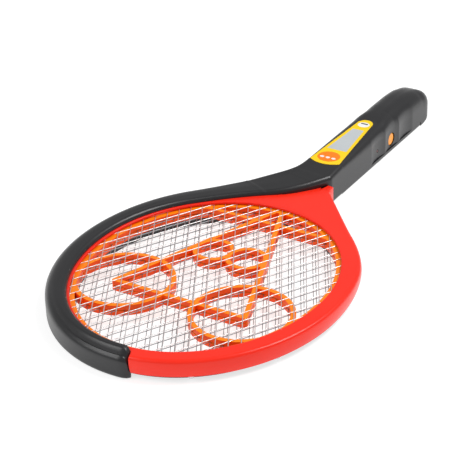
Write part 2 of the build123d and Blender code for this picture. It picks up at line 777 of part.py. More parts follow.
def tab(y):
    """A contact's tab, bent forward through the bay's front wall."""
    return block(BAY_X0 - 5.0, BAY_X0 + CONTACT_T, y - 1.5, y + 1.5, TAB_Z - CONTACT_T, TAB_Z)


with BuildPart() as contact_positive:
    add(contact(BAY_X0, CELL_Y, 9.0, CELL_Z - 5.0, TAB_Z))
    add(tab(CELL_Y))
contact_positive.part.label = "contact_positive"
export_step(contact_positive.part, "parts/contact_positive.step")

front_spring = Plane((FRONT_FACE - 0.1, -CELL_Y, CELL_Z), x_dir=(0, 1, 0), z_dir=(1, 0, 0))
spring_length = REAR_FACE - NUB_L - CELL_L - FRONT_FACE - 0.6
with BuildPart() as contact_negative:
    add(contact(BAY_X0, -CELL_Y, 9.0, CELL_Z - 5.0, TAB_Z))
    add(tab(-CELL_Y))
    add(coil(front_spring.offset(0.3), 3.0, 0.7, spring_length, 3))
contact_negative.part.label = "contact_negative"
export_step(contact_negative.part, "parts/contact_negative.step")

rear_spring = Plane((REAR_FACE + 0.1, CELL_Y, CELL_Z), x_dir=(0, 1, 0), z_dir=(-1, 0, 0))
with BuildPart() as contact_link:
    add(contact(REAR_FACE, 0, 2 * CELL_Y + 9.0, CELL_Z - 5.0, CELL_Z + 5.0))
    add(coil(rear_spring.offset(0.3), 3.0, 0.7, spring_length, 3))
contact_link.part.label = "contact_link"
export_step(contact_link.part, "parts/contact_link.step")

# ---------------------------------------------------------------- circuit board and its parts
with BuildPart() as circuit_board:
    add(block(BOARD_X0, BOARD_X1, -BOARD_HALF, BOARD_HALF, BOARD_Z, BOARD_TOP))
    add(posts(BOARD_SCREWS, SCREW_R, 0, TALL), mode=Mode.SUBTRACT)
    add(posts([GRIP_SCREW], SCREW_HOLE, 0, TALL), mode=Mode.SUBTRACT)
    add(block(BUTTON_X - BUTTON_R - 2.0, TALL, -BOARD_HALF, SWITCH_FACE - 3.0, 0, TALL), mode=Mode.SUBTRACT)
circuit_board.part.label = "circuit_board"
export_step(circuit_board.part, "parts/circuit_board.step")

# Transformer: an E core whose three legs pass through the coil and its bobbin
with BuildPart() as transformer_core:
    with BuildSketch(Plane.XY.offset(BOARD_TOP + CORE_LIFT)):
        with Locations((CORE_X, 0)):
            Rectangle(CORE_L, CORE_W)
            with Locations((0, CORE_W / 4), (0, -CORE_W / 4)):
                Rectangle(CORE_L - 2 * CORE_LEG, CORE_W / 4, mode=Mode.SUBTRACT)
    extrude(amount=CORE_H)
transformer_core.part.label = "transformer_core"
export_step(transformer_core.part, "parts/transformer_core.step")

with BuildPart() as transformer_bobbin:
    with BuildSketch(Plane.YZ.offset(CORE_X - CORE_L / 2 + CORE_LEG + FIT)):
        with Locations((0, BOARD_TOP + CORE_LIFT + CORE_H / 2)):
            Rectangle(CORE_W * 0.72, CORE_H + 2 * CORE_LIFT)
            Rectangle(CORE_W / 4 + 2 * FIT, CORE_H + 2 * FIT, mode=Mode.SUBTRACT)
    extrude(amount=CORE_L - 2 * CORE_LEG - 2 * FIT)
    with BuildSketch(Plane.YZ.offset(CORE_X - CORE_L / 2 + CORE_LEG + FIT + 1.0)):
        with Locations((0, BOARD_TOP + CORE_LIFT + CORE_H / 2)):
            Rectangle(CORE_W, CORE_H + 4 * CORE_LIFT)
            Rectangle(CORE_W / 4 + 2 * FIT + 1.6, CORE_H + 2 * FIT + 1.6, mode=Mode.SUBTRACT)
    extrude(amount=CORE_L - 2 * CORE_LEG - 2 * FIT - 2.0, mode=Mode.SUBTRACT)
transformer_bobbin.part.label = "transformer_bobbin"
export_step(transformer_bobbin.part, "parts/transformer_bobbin.step")

with BuildPart() as transformer_winding:
    with BuildSketch(Plane.YZ.offset(CORE_X - CORE_L / 2 + CORE_LEG + 2 * FIT + 1.0)):
        with Locations((0, BOARD_TOP + CORE_LIFT + CORE_H / 2)):
            Rectangle(CORE_W * 0.66, CORE_H + 1.5 * CORE_LIFT)
            Rectangle(CORE_W / 4 + 2 * FIT + 1.7, CORE_H + 2 * FIT + 1.7, mode=Mode.SUBTRACT)
    extrude(amount=CORE_L - 2 * CORE_LEG - 4 * FIT - 2.0)
transformer_winding.part.label = "transformer_winding"
export_step(transformer_winding.part, "parts/transformer_winding.step")

with BuildPart() as hv_capacitor:
    add(block(CAP_X - 6.5, CAP_X + 6.5, -9.0, -3.0, BOARD_TOP + 0.5, BOARD_TOP + 9.5))
    fillet(hv_capacitor.edges(), 1.2)
    add(posts([(CAP_X - 4.5, -6.0), (CAP_X + 4.5, -6.0)], 0.35, BOARD_TOP, BOARD_TOP + 2.0))
hv_capacitor.part.label = "hv_capacitor"
export_step(hv_capacitor.part, "parts/hv_capacitor.step")

with BuildPart() as transistor:
    with BuildSketch(Plane.XY.offset(BOARD_TOP + 1.5)):
        with Locations((TRANSISTOR_X, 7.0)):
            Circle(2.3)
            with Locations((0, 1.8)):
                Rectangle(6.0, 2.0, mode=Mode.SUBTRACT)
    extrude(amount=4.6)
    add(posts([(TRANSISTOR_X + d, 6.6) for d in (-1.27, 0, 1.27)], 0.25, BOARD_TOP, BOARD_TOP + 2.0))
transistor.part.label = "transistor"
export_step(transistor.part, "parts/transistor.step")


def lead(points, bend, radius=LEAD_R):
    """A round wire: straight runs joined by tangent arcs."""
    with BuildPart() as wire:
        with BuildLine() as path:
            FilletPolyline(*points, radius=bend)
        with BuildSketch(Plane(path.line @ 0, z_dir=path.line % 0)):
            Circle(radius)
        sweep()
    return wire.part


def axial(places, radius, length, span, lift):
    """Small parts lying along X, each a round body on one wire that turns down at both ends."""
    z = BOARD_TOP + lift
    with BuildPart() as group:
        for x, y in places:
            x0, x1 = x - span / 2, x + span / 2
            add(along(y, z, radius, x - length / 2, x + length / 2))
            add(lead([(x0, y, BOARD_TOP), (x0, y, z), (x1, y, z), (x1, y, BOARD_TOP)], 0.8, LEG_R))
    return group.part


with BuildPart() as rectifier_diodes:
    add(axial([(DIODE_X, y) for y in (2.0, 5.5, 9.0)], 1.3, 5.0, 9.0, 2.0))
rectifier_diodes.part.label = "rectifier_diodes"
export_step(rectifier_diodes.part, "parts/rectifier_diodes.step")

with BuildPart() as resistors:
    add(axial([(RESISTOR_X, y) for y in (-9.0, -5.5)], 1.1, 6.0, 10.0, 1.8))
resistors.part.label = "resistors"
export_step(resistors.part, "parts/resistors.step")

# Indicator lamp: a small dome in the wall, on two legs that turn down to the board
with BuildPart() as indicator_led:
    add(across(LAMP_X, LAMP_Z, LAMP_R, WALL_INNER - GRIP_WALL, WALL_INNER + 2.2))
    fillet(indicator_led.edges().group_by(Axis.Y)[0], LAMP_R * 0.8)
    add(across(LAMP_X, LAMP_Z, LAMP_R + 0.4, WALL_INNER + 0.1, WALL_INNER + 1.1))
    for d in (-0.6, 0.6):
        leg = BOARD_HALF - 1.5
        add(across(LAMP_X + d, LAMP_Z, 0.25, WALL_INNER + 2.0, -leg + 0.25))
        add(posts([(LAMP_X + d, -leg)], 0.25, BOARD_TOP, LAMP_Z + 0.2))
indicator_led.part.label = "indicator_led"
export_step(indicator_led.part, "parts/indicator_led.step")


# ---------------------------------------------------------------- wires
def mesh_lead(wire_z, tab_y, gate_y, board_y):
    """A wire from a mesh's tab, through the gate in the web's wall, to the board's front end."""
    x0 = HEAD_X + OPEN_THROAT + SEAT_W + TAB_L
    points = [
        (x0 - 4.0, tab_y, wire_z),
        (x0 + 2.0, tab_y, wire_z),
        (WIRE_GATE_X - 2.0, gate_y, 10.4),
        (NECK_X + 16.0, gate_y, 10.2),
        (BOARD_X0 - 16.0, board_y, 13.5),
        (BOARD_X0 + 3.0, board_y, 13.0),
        (BOARD_X0 + 3.0, board_y, BOARD_TOP),
    ]
    return lead(points, 1.8)


with BuildPart() as lead_mesh_upper:
    add(mesh_lead(TOP_MESH_Z - LEAD_R, TAB_YS["mesh_upper"], 12.0, 10.0))
lead_mesh_upper.part.label = "lead_mesh_upper"
export_step(lead_mesh_upper.part, "parts/lead_mesh_upper.step")

with BuildPart() as lead_mesh_lower:
    add(mesh_lead(LOW_SPACER_Z + LEAD_R, TAB_YS["mesh_lower"], 8.8, 5.5))
lead_mesh_lower.part.label = "lead_mesh_lower"
export_step(lead_mesh_lower.part, "parts/lead_mesh_lower.step")

with BuildPart() as lead_grid:
    add(mesh_lead(TOP_SPACER_Z + LEAD_R, TAB_YS["grid"], 5.6, -7.0))
lead_grid.part.label = "lead_grid"
export_step(lead_grid.part, "parts/lead_grid.step")


def battery_lead(y, board_y):
    """A wire from a contact's tab, down to the board's rear end."""
    x0 = BAY_X0 - 5.0
    points = [
        (x0 - 0.05, y, TAB_Z),
        (x0 - 4.0, y, TAB_Z),
        (x0 - 4.0, board_y, TAB_Z - 5.0),
        (x0 - 4.0, board_y, BOARD_TOP),
    ]
    return lead(points, 1.8)


with BuildPart() as lead_battery_positive:
    add(battery_lead(CELL_Y, CELL_Y + 2.0))
lead_battery_positive.part.label = "lead_battery_positive"
export_step(lead_battery_positive.part, "parts/lead_battery_positive.step")

with BuildPart() as lead_battery_negative:
    add(battery_lead(-CELL_Y, 2.0))
lead_battery_negative.part.label = "lead_battery_negative"
export_step(lead_battery_negative.part, "parts/lead_battery_negative.step")
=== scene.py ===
import math

import bmesh
import bpy
from mathutils import Matrix, Vector
from mathutils.geometry import interpolate_bezier


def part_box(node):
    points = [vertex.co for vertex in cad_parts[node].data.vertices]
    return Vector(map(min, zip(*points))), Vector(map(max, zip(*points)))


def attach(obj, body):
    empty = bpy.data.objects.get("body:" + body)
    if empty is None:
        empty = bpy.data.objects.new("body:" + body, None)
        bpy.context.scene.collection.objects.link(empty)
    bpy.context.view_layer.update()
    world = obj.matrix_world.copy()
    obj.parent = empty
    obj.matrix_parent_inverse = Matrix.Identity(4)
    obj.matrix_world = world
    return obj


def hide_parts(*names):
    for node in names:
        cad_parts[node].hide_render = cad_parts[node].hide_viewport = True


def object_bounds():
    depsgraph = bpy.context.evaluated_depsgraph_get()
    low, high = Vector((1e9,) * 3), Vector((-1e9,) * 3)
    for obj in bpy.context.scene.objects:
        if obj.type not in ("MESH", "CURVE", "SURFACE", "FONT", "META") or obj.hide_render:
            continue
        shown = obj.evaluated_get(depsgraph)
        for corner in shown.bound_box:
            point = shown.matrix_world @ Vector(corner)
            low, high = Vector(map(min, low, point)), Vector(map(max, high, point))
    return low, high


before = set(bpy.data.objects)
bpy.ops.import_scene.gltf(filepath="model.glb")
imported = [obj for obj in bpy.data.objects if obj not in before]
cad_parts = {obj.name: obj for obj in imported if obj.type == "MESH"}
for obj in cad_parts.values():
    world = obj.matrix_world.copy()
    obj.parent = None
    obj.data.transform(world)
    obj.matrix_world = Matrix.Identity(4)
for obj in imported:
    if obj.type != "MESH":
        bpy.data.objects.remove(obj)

CAD_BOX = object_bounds()
MM = 0.001

# ---------------------------------------------------------------- sizes, in millimetres
# Opening of the head: two half ellipses that meet at its widest point
LAYERS_LOW, LAYERS_HIGH = [[v / MM for v in corner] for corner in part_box("spacer_upper")]
SEAT_W = 2.6
OPEN_HALF = LAYERS_HIGH[1] - SEAT_W
OPEN_LENGTH = LAYERS_HIGH[0] - LAYERS_LOW[0] - 2 * SEAT_W
OPEN_NOSE = 125.5
OPEN_THROAT = OPEN_LENGTH - OPEN_NOSE
HEAD_X = LAYERS_LOW[0] + SEAT_W + OPEN_NOSE

# Growth of the head's outlines beyond the opening
FIT = 0.2
RING_W = 5.0
RIM_W = 14.5
RIM_NOSE = 13.5
WEB_W = 23.0
NECK_W = 30.0
ARM_W = 22.0
ARM_NOSE = 15.5
ARM_END = 14.0
BEAD_OVER = 2.0  # the arm's bead comes this near the opening
NECK_ANGLE = math.radians(42.0)
NECK_FILLET = 40.0

# Heights
ARM_TOP = 24.0
HEAD_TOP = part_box("frame_upper")[1][2] / MM
LIP_Z = HEAD_TOP - 2.0
PARTING_Z = 4.0
RIM_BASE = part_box("frame_upper")[0][2] / MM
RING_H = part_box("mesh_lower")[0][2] / MM

# Handle, from the side and in plan
HANDLE_HALF = 18.0
NECK_X = -110.0
LABEL_X, LABEL_L = -57.0, 90.0
LABEL_LOW, LABEL_HIGH = 29.0, 33.0
GRIP_X, GRIP_END, GRIP_TOP = 56.0, 84.0, 35.5
TIP_X, TIP_Z = CAD_BOX[1][0] / MM, 17.0
BASE_END = 108.0
END_RADIUS = 18.0
TONGUE_X, TONGUE_Y = -76.0, -15.0
SCOOP_X, SCOOP_PITCH, SCOOP_DEPTH, SCOOPS = 18.8, 28.5, 1.2, 3
BUTTON_X, BUTTON_Z = SCOOP_X + SCOOP_PITCH, 12.0
LAMP_X, LAMP_Z = SCOOP_X, 12.0


def clamp(value, low=0.0, high=1.0):
    return max(low, min(high, value))


def smooth(value):
    """An even step from 0 to 1."""
    v = clamp(value)
    return v * v * (3.0 - 2.0 * v)


# ---------------------------------------------------------------- outlines in plan
def egg(angle, nose, side, throat):
    """A point on the opening's outline, grown, at an angle from the handle's side."""
    length = OPEN_THROAT + throat if math.cos(angle) > 0 else OPEN_NOSE + nose
    return Vector((HEAD_X + length * math.cos(angle), (OPEN_HALF + side) * math.sin(angle)))


def neck_line(side):
    """Where the head's outline leaves the egg, its angle there, and where it meets the handle."""
    a = OPEN_THROAT + NECK_W
    b = OPEN_HALF + side
    slope = math.tan(NECK_ANGLE)
    k = slope * a / b
    angle = math.atan2(1.0, k)
    touch = Vector((HEAD_X + a * math.cos(angle), b * math.sin(angle)))
    foot = Vector((touch.x + (touch.y - HANDLE_HALF) / slope, HANDLE_HALF))
    return angle, touch, foot


def resample(path, count):
    """Points at even steps along a path of straight runs."""
    lengths = [0.0]
    for p, q in zip(path, path[1:]):
        lengths.append(lengths[-1] + (q - p).length)
    out = []
    n = 0
    for i in range(count):
        want = lengths[-1] * i / (count - 1)
        while n < len(path) - 2 and lengths[n + 1] < want:
            n += 1
        span = lengths[n + 1] - lengths[n]
        out.append(path[n].lerp(path[n + 1], clamp((want - lengths[n]) / span) if span else 0.0))
    return out


def arc(centre, radius, start, end, count):
    """Points along a round arc."""
    steps = [start + (end - start) * i / (count - 1) for i in range(count)]
    return [centre + radius * Vector((math.cos(a), math.sin(a))) for a in steps]


def scoop(x):
    """How deep the finger scoops cut into the handle's sides at x."""
    radius = ((SCOOP_PITCH / 2) ** 2 + SCOOP_DEPTH**2) / (2 * SCOOP_DEPTH)
    n = round((x - SCOOP_X) / SCOOP_PITCH)
    off = x - SCOOP_X - n * SCOOP_PITCH
    if n < 0 or n >= SCOOPS:
        return 0.0
    return math.sqrt(radius**2 - off**2) - radius + SCOOP_DEPTH


def handle_half(x):
    """Half width of the handle at x, with its rounded end."""
    over = x - (TIP_X - END_RADIUS)
    if over <= 0:
        return HANDLE_HALF
    return HANDLE_HALF - END_RADIUS + math.sqrt(max(END_RADIUS**2 - over**2, 0.0))


def straight_top(x):
    """Height of the handle's top at x, with sharp bends between its ramps."""
    stops = [
        (NECK_X, ARM_TOP),
        (LABEL_X, LABEL_LOW),
        (LABEL_X + LABEL_L, LABEL_HIGH),
        (GRIP_X, GRIP_TOP),
        (GRIP_END, GRIP_TOP),
    ]
    if x <= NECK_X:
        return ARM_TOP
    if x >= GRIP_END:
        part = clamp((x - GRIP_END) / (TIP_X - GRIP_END))
        return TIP_Z + (GRIP_TOP - TIP_Z) * math.sqrt(1 - part * part)
    for (x0, z0), (x1, z1) in zip(stops, stops[1:]):
        if x <= x1:
            return z0 + (z1 - z0) * (x - x0) / (x1 - x0)


def handle_top(x):
    """Height of the handle's top at x, its bends eased over the grip's start."""
    reach = 14.0 * smooth((x - LABEL_X - LABEL_L) / 12.0) * (1 - smooth((x - GRIP_END + 14.0) / 14.0))
    if reach <= 0:
        return straight_top(x)
    return sum(straight_top(x + reach * n / 4) for n in range(-4, 5)) / 9


def handle_base(x):
    """Height of the handle's underside at x, under the domed end."""
    part = clamp((x - BASE_END) / (TIP_X - BASE_END))
    return TIP_Z * (1 - math.sqrt(1 - part * part))


# ---------------------------------------------------------------- mesh helpers
def mesh_object(name, points, faces, sharp=40.0):
    """A smooth-shaded piece from points in millimetres, with sharp edges past an angle."""
    mesh = bpy.data.meshes.new(name)
    mesh.from_pydata([tuple(c * MM for c in p) for p in points], [], faces)
    mesh.validate()
    bm = bmesh.new()
    bm.from_mesh(mesh)
    bmesh.ops.remove_doubles(bm, verts=bm.verts, dist=1e-7)
    bmesh.ops.recalc_face_normals(bm, faces=bm.faces)
    bm.to_mesh(mesh)
    bm.free()
    mesh.shade_smooth()
    mesh.set_sharp_from_angle(angle=math.radians(sharp))
    piece = bpy.data.objects.new(name, mesh)
    bpy.context.scene.collection.objects.link(piece)
    return piece


def loft(name, rings, closed=False, sharp=40.0):
    """A skin over closed rings of equal count, closed on itself or capped at both ends."""
    count = len(rings[0])
    points = [p for r in rings for p in r]
    faces = []
    last = len(rings) if closed else len(rings) - 1
    for i in range(last):
        j = (i + 1) % len(rings)
        for k in range(count):
            m = (k + 1) % count
            faces.append((i * count + k, i * count + m, j * count + m, j * count + k))
    if not closed:
        faces.append(tuple(range(count)))
        faces.append(tuple((len(rings) - 1) * count + k for k in range(count)))
    return mesh_object(name, points, faces, sharp)


def cut(piece, cutters):
    """Takes the cutters out of a piece, for good."""
    for tool in cutters:
        modifier = piece.modifiers.new("cut", "BOOLEAN")
        modifier.operation = "DIFFERENCE"
        modifier.solver = "EXACT"
        modifier.object = tool
    graph = bpy.context.evaluated_depsgraph_get()
    mesh = bpy.data.meshes.new_from_object(piece.evaluated_get(graph))
    piece.modifiers.clear()
    piece.data = mesh
    mesh.set_sharp_from_angle(angle=math.radians(40.0))
    for tool in cutters:
        bpy.data.objects.remove(tool, do_unlink=True)


def block(name, low, high):
    """A closed box between two corners, in millimetres."""
    xs, ys, zs = zip(low, high)
    points = [(x, y, z) for x in xs for y in ys for z in zs]
    faces = [(0, 1, 3, 2), (4, 6, 7, 5), (0, 4, 5, 1), (2, 3, 7, 6), (0, 2, 6, 4), (1, 5, 7, 3)]
    return mesh_object(name, points, faces)


def bar_y(name, x, z, radius, y0, y1, sides=48):
    """A closed round bar along Y."""
    turns = [2 * math.pi * i / sides for i in range(sides)]
    rings = [[(x + radius * math.cos(a), y, z + radius * math.sin(a)) for a in turns] for y in (y0, y1)]
    return loft(name, rings)


# ---------------------------------------------------------------- materials
def new_material(name):
    """A material with its Principled shader and an object-space coordinate node."""
    material = bpy.data.materials.new(name)
    material.use_nodes = True
    nodes = material.node_tree.nodes
    shader = nodes["Principled BSDF"]
    coord = nodes.new("ShaderNodeTexCoord")
    return material, nodes, material.node_tree.links, shader, coord


def noise(nodes, links, coord, scale, detail=4.0):
    """A noise texture in object space, in cycles per metre."""
    texture = nodes.new("ShaderNodeTexNoise")
    texture.inputs["Scale"].default_value = scale
    texture.inputs["Detail"].default_value = detail
    links.new(coord.outputs["Object"], texture.inputs["Vector"])
    return texture


def ramp(nodes, links, source, low, high):
    """Turns a 0 to 1 value into a value between low and high."""
    out = nodes.new("ShaderNodeMapRange")
    out.inputs["To Min"].default_value = low
    out.inputs["To Max"].default_value = high
    links.new(source, out.inputs["Value"])
    return out.outputs["Result"]


def tint(nodes, links, source, dark, light):
    """Mixes two colours by a 0 to 1 value."""
    mix = nodes.new("ShaderNodeMix")
    mix.data_type = "RGBA"
    mix.inputs["A"].default_value = (*dark, 1.0)
    mix.inputs["B"].default_value = (*light, 1.0)
    links.new(source, mix.inputs["Factor"])
    return mix.outputs["Result"]


def bump(nodes, links, height, shader, strength, distance):
    """Raises the surface by a height texture."""
    node = nodes.new("ShaderNodeBump")
    node.inputs["Strength"].default_value = strength
    node.inputs["Distance"].default_value = distance
    links.new(height, node.inputs["Height"])
    links.new(node.outputs["Normal"], shader.inputs["Normal"])


def plastic(name, dark, light, rough, grain, depth, coat=0.0, shine=0.5):
    """Moulded plastic: slow colour drift, a fine moulded grain and uneven polish."""
    material, nodes, links, shader, coord = new_material(name)
    drift = noise(nodes, links, coord, 25.0).outputs["Fac"]
    fine = noise(nodes, links, coord, grain, 6.0).outputs["Fac"]
    links.new(tint(nodes, links, drift, dark, light), shader.inputs["Base Color"])
    links.new(ramp(nodes, links, fine, rough * 0.85, rough * 1.15), shader.inputs["Roughness"])
    bump(nodes, links, fine, shader, 0.35, depth)
    shader.inputs["Specular IOR Level"].default_value = shine
    shader.inputs["Coat Weight"].default_value = coat
    shader.inputs["Coat Roughness"].default_value = 0.08
    return material


def paint_wall_shade(material, wall):
    """Paints shade into upright faces: they get a deeper colour than level ones, the more so the more
    upright the face.
    """
    nodes, links = material.node_tree.nodes, material.node_tree.links
    shader = nodes["Principled BSDF"]
    source = shader.inputs["Base Color"].links[0].from_socket
    geometry = nodes.new("ShaderNodeNewGeometry")
    parts = nodes.new("ShaderNodeSeparateXYZ")
    level = nodes.new("ShaderNodeMath")
    level.operation = "ABSOLUTE"
    mix = nodes.new("ShaderNodeMix")
    mix.data_type = "RGBA"
    mix.inputs["A"].default_value = (*wall, 1.0)
    links.new(geometry.outputs["Normal"], parts.inputs["Vector"])
    links.new(parts.outputs["Z"], level.inputs[0])
    links.new(level.outputs["Value"], mix.inputs["Factor"])
    links.new(source, mix.inputs["B"])
    links.new(mix.outputs["Result"], shader.inputs["Base Color"])


def metal(name, dark, light, rough):
    """Drawn or plated metal with faint mottling in its colour and polish."""
    material, nodes, links, shader, coord = new_material(name)
    mottle = noise(nodes, links, coord, 900.0, 5.0).outputs["Fac"]
    links.new(tint(nodes, links, mottle, dark, light), shader.inputs["Base Color"])
    links.new(ramp(nodes, links, mottle, rough * 0.7, rough * 1.3), shader.inputs["Roughness"])
    shader.inputs["Metallic"].default_value = 1.0
    return material


BLACK = plastic("black_plastic", (0.010, 0.010, 0.011), (0.016, 0.016, 0.018), 0.34, 3500.0, 0.00006)
BLACK_RING = plastic("black_ring", (0.008, 0.008, 0.009), (0.015, 0.015, 0.016), 0.42, 3500.0, 0.00005)
RED = plastic("red_plastic", (0.90, 0.018, 0.006), (0.98, 0.028, 0.009), 0.30, 700.0, 0.00003, 0.05, 0.3)
ORANGE = plastic("orange_plastic", (1.0, 0.22, 0.003), (1.0, 0.27, 0.004), 0.36, 900.0, 0.00003, 0.0, 0.25)
# painted shade: the orange spacers' upright walls get a deeper red-orange than their tops
paint_wall_shade(ORANGE, (1.0, 0.095, 0.004))
BUTTON = plastic("button_plastic", (1.0, 0.30, 0.012), (1.0, 0.38, 0.02), 0.32, 900.0, 0.00003, 0.1, 0.3)
WIRE = metal("mesh_wire", (0.86, 0.86, 0.86), (0.98, 0.98, 0.98), 0.35)
# painted shade: the lower nets' wire is the same steel as the upper net's, its colour darkened for their
# place below it
SHADED_WIRE = metal("mesh_wire_shaded", (0.24, 0.25, 0.26), (0.42, 0.43, 0.44), 0.45)
STEEL = metal("plated_steel", (0.50, 0.51, 0.53), (0.72, 0.73, 0.75), 0.28)
COPPER = metal("copper_wire", (0.60, 0.22, 0.08), (0.85, 0.42, 0.20), 0.30)
YELLOW = plastic("label_yellow", (1.0, 0.62, 0.006), (1.0, 0.68, 0.012), 0.34, 1800.0, 0.00001, 0.0, 0.25)
SILVER = plastic("label_silver", (0.46, 0.50, 0.52), (0.60, 0.63, 0.64), 0.30, 2600.0, 0.00001, 0.5)
OVAL = plastic("label_orange", (1.0, 0.20, 0.004), (1.0, 0.26, 0.010), 0.34, 1800.0, 0.00001, 0.0, 0.25)
WHITE = plastic("label_white", (0.86, 0.86, 0.85), (0.95, 0.95, 0.94), 0.32, 1800.0, 0.00001, 0.5)
INK = plastic("label_ink", (0.02, 0.02, 0.03), (0.04, 0.04, 0.05), 0.35, 1800.0, 0.00001, 0.5)
BOARD = plastic("board", (0.26, 0.15, 0.045), (0.38, 0.24, 0.09), 0.55, 1500.0, 0.00003)
FERRITE = plastic("ferrite", (0.03, 0.03, 0.033), (0.07, 0.07, 0.072), 0.65, 2500.0, 0.0001)
BOBBIN = plastic("bobbin", (0.72, 0.70, 0.62), (0.82, 0.80, 0.72), 0.5, 1500.0, 0.00004)
DIPPED = plastic("dipped_blue", (0.03, 0.09, 0.32), (0.05, 0.14, 0.42), 0.22, 900.0, 0.00006, 0.5)
BLACK_PART = plastic("black_component", (0.01, 0.01, 0.01), (0.03, 0.03, 0.03), 0.4, 2500.0, 0.00004)
RESISTOR = plastic("resistor", (0.50, 0.36, 0.20), (0.64, 0.50, 0.32), 0.45, 1800.0, 0.00004)
LENS = plastic("lamp_lens", (0.10, 0.004, 0.004), (0.18, 0.01, 0.008), 0.12, 600.0, 0.00001, 0.6)
RED_LEAD = plastic("lead_red", (0.55, 0.012, 0.010), (0.65, 0.02, 0.015), 0.4, 1200.0, 0.00003)
BLACK_LEAD = plastic("lead_black", (0.012, 0.012, 0.012), (0.03, 0.03, 0.03), 0.4, 1200.0, 0.00003)
CELL = plastic("battery_sleeve", (0.012, 0.055, 0.20), (0.02, 0.08, 0.28), 0.25, 900.0, 0.00001, 0.5)

CAD_LOOKS = {
    BLACK: ("battery_door",),
    BLACK_RING: ("frame_lower",),
    ORANGE: ("spacer_upper", "spacer_lower"),
    BUTTON: ("trigger_button",),
    STEEL: (
        "contact_positive", "contact_negative", "contact_link", "button_spring",
        "housing_screws", "frame_screws", "board_screws",
    ),
    CELL: ("battery_1", "battery_2"),
    BOARD: ("circuit_board",),
    FERRITE: ("transformer_core",),
    BOBBIN: ("transformer_bobbin",),
    COPPER: ("transformer_winding",),
    DIPPED: ("hv_capacitor",),
    BLACK_PART: ("transistor", "rectifier_diodes", "push_switch", "switch_plunger"),
    RESISTOR: ("resistors",),
    LENS: ("indicator_led",),
    RED_LEAD: ("lead_mesh_upper", "lead_mesh_lower", "lead_battery_positive"),
    BLACK_LEAD: ("lead_grid", "lead_battery_negative"),
}


def dress(piece, material):
    """Gives a piece one material."""
    piece.data.materials.clear()
    piece.data.materials.append(material)


def finish(piece, material, body, slot, *nodes):
    """A finished piece: its material, the body it moves with and the CAD nodes it stands for."""
    dress(piece, material)
    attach(piece, body)
    if nodes:
        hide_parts(*nodes)


for look, names in CAD_LOOKS.items():
    for name in names:
        for material_slot in bpy.data.objects[name].material_slots:
            material_slot.material = look


# ---------------------------------------------------------------- black housing
def arm_stations():
    """Foot, bead and outer points across the arm, from its end round to the neck.

    The foot stands beside the red frame's ring; the raised bead reaches over the ring's top."""
    touch_angle = neck_line(ARM_W)[0]
    end_angle = math.pi + math.asin((ARM_END - FIT) / (OPEN_HALF + RING_W))
    count = 150
    stations = []
    for i in range(count):
        a = end_angle + (touch_angle - end_angle) * i / count
        side = ARM_W if a < math.pi else RIM_W
        foot = egg(a, RING_W + FIT, RING_W + FIT, WEB_W + FIT)
        over = egg(a, BEAD_OVER, BEAD_OVER, BEAD_OVER)
        stations.append((foot, over, egg(a, ARM_NOSE, side, NECK_W)))
    return stations


# The seam between the black neck and the red web: a point halfway, measured from the opening's end
# on the axis, its direction there, how far past the tongue's start it ends, and how strongly each
# of its two curves is pulled along its ends
SEAM_MIDDLE_X, SEAM_MIDDLE_Y = 15.8, 19.4
SEAM_LEAN = Vector((0.555, -0.832))
SEAM_TIP = 3.0
SEAM_PULL_UPPER, SEAM_PULL_LOWER, SEAM_PULL_TIP = 23, 19, Vector((16.5, -9.5))
SEAM_STEPS = 30


def seam_curve():
    """The line where the black neck's bead ends over the red web, from the arm to the handle."""
    angle = neck_line(ARM_W)[0]
    start = egg(angle, BEAD_OVER, BEAD_OVER, BEAD_OVER)
    step = egg(angle - 0.02, BEAD_OVER, BEAD_OVER, BEAD_OVER) - start
    leave = start + step.normalized() * SEAM_PULL_UPPER
    middle = Vector((HEAD_X + OPEN_THROAT + SEAM_MIDDLE_X, SEAM_MIDDLE_Y))
    before, after = middle - SEAM_LEAN * SEAM_PULL_UPPER, middle + SEAM_LEAN * SEAM_PULL_LOWER
    tip = Vector((TONGUE_X + SEAM_TIP, -HANDLE_HALF))
    upper = interpolate_bezier(start, leave, before, middle, SEAM_STEPS)
    lower = interpolate_bezier(middle, after, tip - SEAM_PULL_TIP, tip, SEAM_STEPS)
    return [p.to_2d() for p in upper[:-1] + lower]


def neck_stations():
    """The same, from where the outline leaves the egg to the handle's parallel sides.

    A foot that would stand on the opening's side of the seam is moved to the seam."""
    count, turn = 110, 40
    angle, touch, meet = neck_line(ARM_W)
    corner = Vector((HEAD_X + OPEN_THROAT + WEB_W - 2.0, 5.0 + 1.2 * FIT))
    last = math.asin(corner.y / (OPEN_HALF + RING_W))
    end = Vector((LABEL_X, -HANDLE_HALF))
    foot = []
    for i in range(turn + 1):
        foot.append(egg(angle + (last - angle) * i / turn, 0, RING_W + FIT, WEB_W + FIT))
    tongue_x = TONGUE_X + FIT
    foot += [corner, Vector((tongue_x, TONGUE_Y + 1.2 * FIT)), Vector((tongue_x, -HANDLE_HALF)), end]
    over = seam_curve() + [end]
    reach = NECK_FILLET * math.tan(NECK_ANGLE / 2)
    centre = Vector((meet.x + reach, HANDLE_HALF + NECK_FILLET))
    outer = [touch] + arc(centre, NECK_FILLET, -math.pi / 2 - NECK_ANGLE, -math.pi / 2, 16)
    if outer[-1].x < LABEL_X:
        outer.append(Vector((LABEL_X, HANDLE_HALF)))
    foot[-1] = over[-1] = Vector((outer[-1].x, -HANDLE_HALF))
    stations = []
    for low, high, far in zip(resample(foot, count), resample(over, count), resample(outer, count)):
        inside = (low - high).dot(far - high) < 0
        stations.append((high if inside else low, high, far))
    return stations


def handle_stations(start):
    """The same along the handle, where foot and bead are one point; closer together at the tip."""
    grip, dome = 150, 48
    xs = [start + (GRIP_END - start) * i / grip for i in range(1, grip)]
    xs += [GRIP_END + (TIP_X - GRIP_END) * math.sin(math.pi / 2 * i / dome) for i in range(dome + 1)]
    sides = [(Vector((x, -handle_half(x))), Vector((x, handle_half(x)))) for x in xs]
    return [(near, near, far) for near, far in sides]


